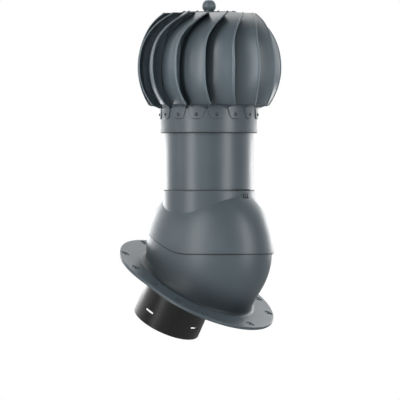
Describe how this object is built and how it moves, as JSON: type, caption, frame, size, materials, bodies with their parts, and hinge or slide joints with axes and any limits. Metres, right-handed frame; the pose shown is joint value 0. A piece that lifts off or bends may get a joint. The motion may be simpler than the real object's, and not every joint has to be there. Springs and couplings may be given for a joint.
{
  "type": "roof turbine ventilator",
  "caption": "Wind-driven roof ventilator: vaned globe rotor on an upright pipe, tilting domed cowl and sloped oval flange with a duct spigot below.",
  "frame": {"origin": "centre of the flange's screw pattern, on the flange's underside", "axes": "+Z upright along the rotor's axis, +X level and down the roof, +Y along the tilt axis; the flange slopes at a 30 degree roof pitch"},
  "size_m": [0.2952, 0.265, 0.6103],
  "materials": {
    "anthracite_plastic": "satin moulded",
    "black_plastic": "satin moulded",
    "anthracite_paint": "satin powder coat",
    "painted_rivet": "satin powder coat",
    "steel": "turned",
    "aluminium": "mill finish",
    "seal_rubber": "moulded"
  },
  "bodies": {
    "base": {"base_shell": "anthracite_plastic", "duct_spigot": "black_plastic", "floor_screws": "steel"},
    "cowl": {"cowl_shell": "anthracite_plastic", "neck_latch": "anthracite_plastic", "pipe_seal": "seal_rubber", "vent_pipe": "anthracite_paint", "pipe_spider": "aluminium", "spider_rivets": "painted_rivet", "shaft": "steel", "shaft_nuts": "steel", "lower_bearing_inner_race": "steel", "upper_bearing_inner_race": "steel"},
    "rotor": {"rotor_collar": "anthracite_paint", "rotor_spider": "aluminium", "vane_01": "anthracite_paint", "vane_02": "anthracite_paint", "vane_03": "anthracite_paint", "vane_04": "anthracite_paint", "vane_05": "anthracite_paint", "vane_06": "anthracite_paint", "vane_07": "anthracite_paint", "vane_08": "anthracite_paint", "vane_09": "anthracite_paint", "vane_10": "anthracite_paint", "vane_11": "anthracite_paint", "vane_12": "anthracite_paint", "vane_13": "anthracite_paint", "vane_14": "anthracite_paint", "vane_15": "anthracite_paint", "tab_rivets": "painted_rivet", "lower_bearing_outer_race": "steel", "upper_bearing_outer_race": "steel", "bearing_cup": "aluminium", "top_plate": "anthracite_paint", "top_rivets": "painted_rivet", "ball_cap": "anthracite_paint"}
  },
  "joints": [
    {"name": "tilt", "type": "hinge", "parent": "base", "child": "cowl", "pos_m": [0.03067, 0, 0.06312], "axis": [0, 1, 0], "range_deg": [-15, 25]},
    {"name": "spin", "type": "hinge", "parent": "cowl", "child": "rotor", "pos_m": [0.03067, 0, 0.39312], "axis": [0, 0, 1], "continuous": true}
  ]
}
